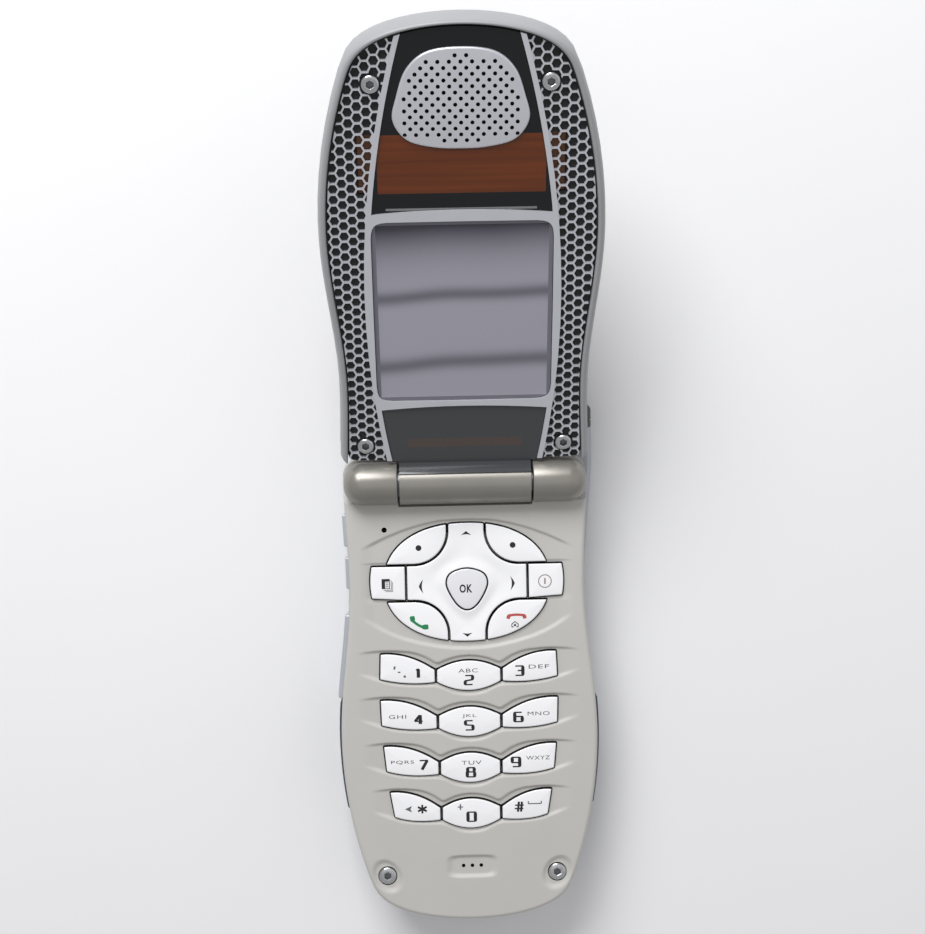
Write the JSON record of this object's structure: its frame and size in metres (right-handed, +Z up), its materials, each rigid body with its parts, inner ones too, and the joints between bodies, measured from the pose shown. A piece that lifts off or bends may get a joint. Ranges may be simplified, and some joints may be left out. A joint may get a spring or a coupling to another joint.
{
  "type": "flip phone",
  "caption": "Compact flip phone, lid open: waisted base with oval key cluster and number pad, hinged lid with square screen, honeycomb side mesh and pull-out antenna.",
  "frame": {"origin": "middle of the flat back of the base", "axes": "+Z up, away from the back the phone lies on; +Y from the microphone end to the hinge; +X to the right of the keys, the antenna's side"},
  "size_m": [0.05, 0.1656, 0.0498],
  "materials": {
    "face": "fine matte paint",
    "back": "fine matte paint",
    "lid_body": "fine matte paint",
    "hinge_metal": "satin metallic paint",
    "steel": "bright, plated",
    "board": "solder mask",
    "silicone": "translucent rubber",
    "grip": "matte rubber",
    "battery_wrap": "printed film",
    "black": "matte",
    "dark_knob": "satin",
    "flank_key": "satin metallic paint",
    "key": "clear gloss over white",
    "frame_silver": "bright silver",
    "smoked": "smoked, glossy",
    "lens": "dark, glossy",
    "flex": "copper-brown film"
  },
  "bodies": {
    "base": {"front_housing": "face", "rear_housing": "back", "hinge_cap_left": "hinge_metal", "hinge_cap_right": "hinge_metal", "hinge_cartridge": "steel", "hinge_pin": "steel", "main_board": "board", "keypad_mat": "silicone", "battery": "battery_wrap", "side_grip_left": "grip", "side_grip_right": "grip", "base_screws": "steel", "microphone": "black", "loudspeaker": "black", "vibration_motor": "steel", "charging_port": "steel"},
    "lid": {"lid_shell": "lid_body", "lid_rim": "lid_body", "lid_barrel": "hinge_metal", "lid_tray": "black", "mesh_frame": "frame_silver", "window_upper": "smoked", "window_lower": "smoked", "earpiece_grille": "frame_silver", "earpiece_flex": "flex", "screen_lens": "lens", "screen_module": "black", "earpiece": "black", "lid_board": "board", "lid_screws": "steel", "outer_window": "lens", "outer_screen": "black"},
    "battery_door": {"battery_door": "back"},
    "antenna": {"antenna": "dark_knob"},
    "nav_pivot": {"nav_pivot": "silicone"},
    "nav_key": {"nav_key": "key"},
    "ok_key": {"ok_key": "key"},
    "soft_key_left": {"soft_key_left": "key"},
    "soft_key_right": {"soft_key_right": "key"},
    "menu_key": {"menu_key": "key"},
    "power_key": {"power_key": "key"},
    "call_key": {"call_key": "key"},
    "end_key": {"end_key": "key"},
    "key_1": {"key_1": "key"},
    "key_2": {"key_2": "key"},
    "key_3": {"key_3": "key"},
    "key_4": {"key_4": "key"},
    "key_5": {"key_5": "key"},
    "key_6": {"key_6": "key"},
    "key_7": {"key_7": "key"},
    "key_8": {"key_8": "key"},
    "key_9": {"key_9": "key"},
    "key_star": {"key_star": "key"},
    "key_0": {"key_0": "key"},
    "key_hash": {"key_hash": "key"},
    "volume_up": {"volume_up": "flank_key"},
    "volume_down": {"volume_down": "flank_key"},
    "talk_button": {"talk_button": "flank_key"}
  },
  "joints": [
    {"name": "lid_hinge", "type": "hinge", "parent": "base", "child": "lid", "pos_m": [0, 0.0426, 0.015], "axis": [1, 0, 0], "range_deg": [0, 156]},
    {"name": "door_slide", "type": "slide", "parent": "base", "child": "battery_door", "axis": [0, -1, 0], "range_m": [0, 0.005]},
    {"name": "antenna_slide", "type": "slide", "parent": "base", "child": "antenna", "axis": [0, 1, 0], "range_m": [0, 0.026]},
    {"name": "nav_tilt_fore", "type": "hinge", "parent": "base", "child": "nav_pivot", "pos_m": [0, 0.0235, 0.0118], "axis": [1, 0, 0], "range_deg": [-2, 2], "stiffness_Nm_per_rad": 0.1},
    {"name": "nav_tilt_side", "type": "hinge", "parent": "nav_pivot", "child": "nav_key", "pos_m": [0, 0.0235, 0.0118], "axis": [0, 1, 0], "range_deg": [-2, 2], "stiffness_Nm_per_rad": 0.1},
    {"name": "ok_key_press", "type": "slide", "parent": "base", "child": "ok_key", "axis": [0, 0, -1], "range_m": [0, 0.00035], "stiffness_N_per_m": 1000},
    {"name": "soft_key_left_press", "type": "slide", "parent": "base", "child": "soft_key_left", "axis": [0, 0, -1], "range_m": [0, 0.00035], "stiffness_N_per_m": 1000},
    {"name": "soft_key_right_press", "type": "slide", "parent": "base", "child": "soft_key_right", "axis": [0, 0, -1], "range_m": [0, 0.00035], "stiffness_N_per_m": 1000},
    {"name": "menu_key_press", "type": "slide", "parent": "base", "child": "menu_key", "axis": [0, 0, -1], "range_m": [0, 0.00035], "stiffness_N_per_m": 1000},
    {"name": "power_key_press", "type": "slide", "parent": "base", "child": "power_key", "axis": [0, 0, -1], "range_m": [0, 0.00035], "stiffness_N_per_m": 1000},
    {"name": "call_key_press", "type": "slide", "parent": "base", "child": "call_key", "axis": [0, 0, -1], "range_m": [0, 0.00035], "stiffness_N_per_m": 1000},
    {"name": "end_key_press", "type": "slide", "parent": "base", "child": "end_key", "axis": [0, 0, -1], "range_m": [0, 0.00035], "stiffness_N_per_m": 1000},
    {"name": "key_1_press", "type": "slide", "parent": "base", "child": "key_1", "axis": [0, 0, -1], "range_m": [0, 0.00035], "stiffness_N_per_m": 1000},
    {"name": "key_2_press", "type": "slide", "parent": "base", "child": "key_2", "axis": [0, 0, -1], "range_m": [0, 0.00035], "stiffness_N_per_m": 1000},
    {"name": "key_3_press", "type": "slide", "parent": "base", "child": "key_3", "axis": [0, 0, -1], "range_m": [0, 0.00035], "stiffness_N_per_m": 1000},
    {"name": "key_4_press", "type": "slide", "parent": "base", "child": "key_4", "axis": [0, 0, -1], "range_m": [0, 0.00035], "stiffness_N_per_m": 1000},
    {"name": "key_5_press", "type": "slide", "parent": "base", "child": "key_5", "axis": [0, 0, -1], "range_m": [0, 0.00035], "stiffness_N_per_m": 1000},
    {"name": "key_6_press", "type": "slide", "parent": "base", "child": "key_6", "axis": [0, 0, -1], "range_m": [0, 0.00035], "stiffness_N_per_m": 1000},
    {"name": "key_7_press", "type": "slide", "parent": "base", "child": "key_7", "axis": [0, 0, -1], "range_m": [0, 0.00035], "stiffness_N_per_m": 1000},
    {"name": "key_8_press", "type": "slide", "parent": "base", "child": "key_8", "axis": [0, 0, -1], "range_m": [0, 0.00035], "stiffness_N_per_m": 1000},
    {"name": "key_9_press", "type": "slide", "parent": "base", "child": "key_9", "axis": [0, 0, -1], "range_m": [0, 0.00035], "stiffness_N_per_m": 1000},
    {"name": "key_star_press", "type": "slide", "parent": "base", "child": "key_star", "axis": [0, 0, -1], "range_m": [0, 0.00035], "stiffness_N_per_m": 1000},
    {"name": "key_0_press", "type": "slide", "parent": "base", "child": "key_0", "axis": [0, 0, -1], "range_m": [0, 0.00035], "stiffness_N_per_m": 1000},
    {"name": "key_hash_press", "type": "slide", "parent": "base", "child": "key_hash", "axis": [0, 0, -1], "range_m": [0, 0.00035], "stiffness_N_per_m": 1000},
    {"name": "volume_up_press", "type": "slide", "parent": "base", "child": "volume_up", "axis": [1, 0, 0], "range_m": [0, 0.0003], "stiffness_N_per_m": 1000},
    {"name": "volume_down_press", "type": "slide", "parent": "base", "child": "volume_down", "axis": [1, 0, 0], "range_m": [0, 0.0003], "stiffness_N_per_m": 1000},
    {"name": "talk_button_press", "type": "slide", "parent": "base", "child": "talk_button", "axis": [1, 0, 0], "range_m": [0, 0.0003], "stiffness_N_per_m": 1000}
  ]
}
